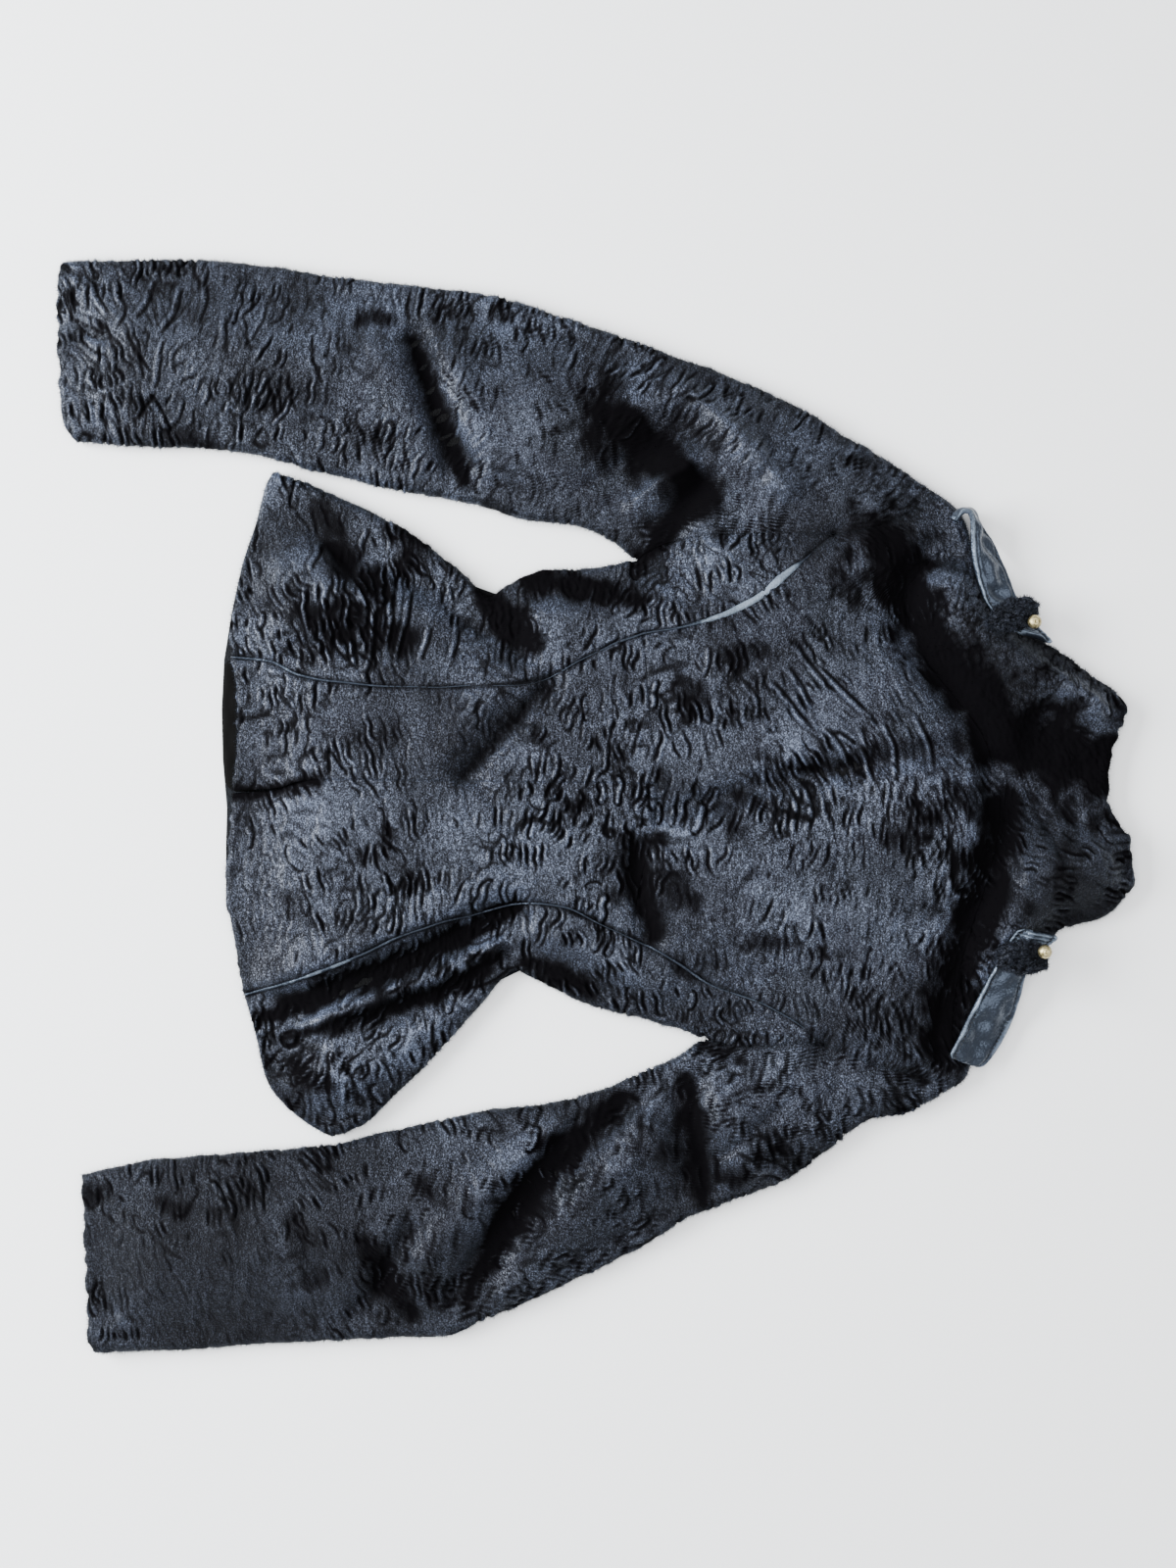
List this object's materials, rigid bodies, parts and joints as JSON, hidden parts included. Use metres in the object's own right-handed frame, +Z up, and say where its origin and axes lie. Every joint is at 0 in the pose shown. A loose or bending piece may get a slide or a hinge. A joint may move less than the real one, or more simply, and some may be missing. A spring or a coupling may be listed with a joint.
{
  "type": "fur jacket",
  "caption": "Short fitted jacket of curly lamb fur with a funnel collar, leather-piped seams, side straps with ball studs and a back vent, laid flat with its back up.",
  "frame": {"origin": "middle of the bounding box, on the surface that the jacket lies on", "axes": "+Z up from the surface, +Y from the hem to the collar, +X towards the wearer's right; the back faces up"},
  "size_m": [0.8348, 0.8216, 0.0491],
  "materials": {
    "fur": "short curly black pile with a blue-grey sheen",
    "leather": "soft pebbled black leather, satin",
    "lining": "plain dark facing",
    "brass": "aged, satin"
  },
  "bodies": {
    "root": {"back_centre_upper": "fur", "back_centre_lower_left": "fur", "back_centre_lower_right": "fur", "back_side_left": "fur", "back_side_right": "fur", "front_left": "fur", "front_right": "fur", "front_facing_left": "lining", "sleeve_left": "fur", "sleeve_right": "fur", "collar_back": "fur", "collar_front_left": "fur", "collar_front_right": "fur", "piping_left": "leather", "piping_right": "leather", "strap_left": "leather", "strap_right": "leather", "keeper_left": "fur", "keeper_right": "fur", "stud_left": "brass", "stud_right": "brass"}
  },
  "joints": []
}
